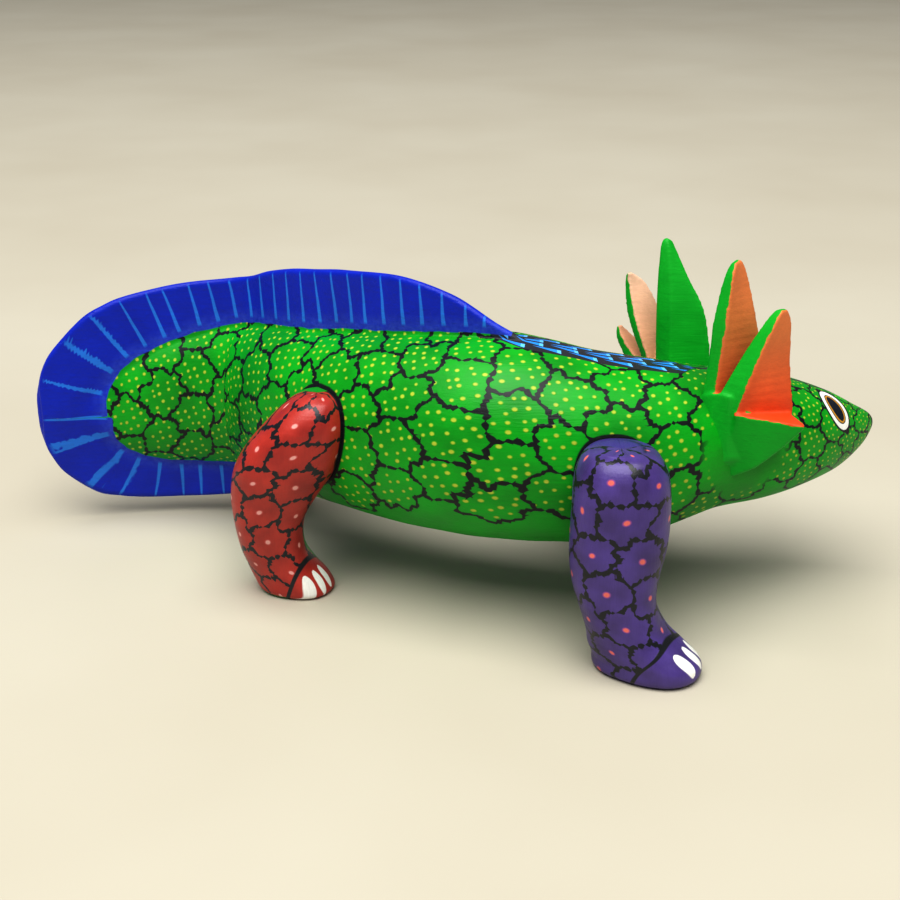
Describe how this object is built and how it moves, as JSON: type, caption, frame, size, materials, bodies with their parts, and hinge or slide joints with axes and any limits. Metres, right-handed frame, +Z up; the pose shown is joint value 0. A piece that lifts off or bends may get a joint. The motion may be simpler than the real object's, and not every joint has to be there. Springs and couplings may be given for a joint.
{
  "type": "alebrije figure",
  "caption": "Hand-carved wooden axolotl figure on splayed legs, with a tall finned tail, pronged gill fans and bright painted scales.",
  "frame": {"origin": "centre of the footprint at the level of the soles", "axes": "+Z up, +X towards the head, so the figure's right side faces -Y"},
  "size_m": [0.2533, 0.1311, 0.102],
  "materials": {
    "green_paint": "satin acrylic over sanded copal, scaled pattern, blue fin",
    "purple_paint": "satin acrylic over sanded copal, scaled pattern",
    "red_paint": "satin acrylic over sanded copal, scaled pattern",
    "gill_paint": "satin acrylic, green backs and orange palms",
    "bare_wood": "bare turned hardwood"
  },
  "bodies": {
    "root": {"body": "green_paint", "front_right_leg": "purple_paint", "front_left_leg": "purple_paint", "rear_right_leg": "red_paint", "rear_left_leg": "red_paint", "right_gill_fan": "gill_paint", "left_gill_fan": "gill_paint", "front_right_dowel": "bare_wood", "front_left_dowel": "bare_wood", "rear_right_dowel": "bare_wood", "rear_left_dowel": "bare_wood", "right_gill_peg": "bare_wood", "left_gill_peg": "bare_wood"}
  },
  "joints": []
}
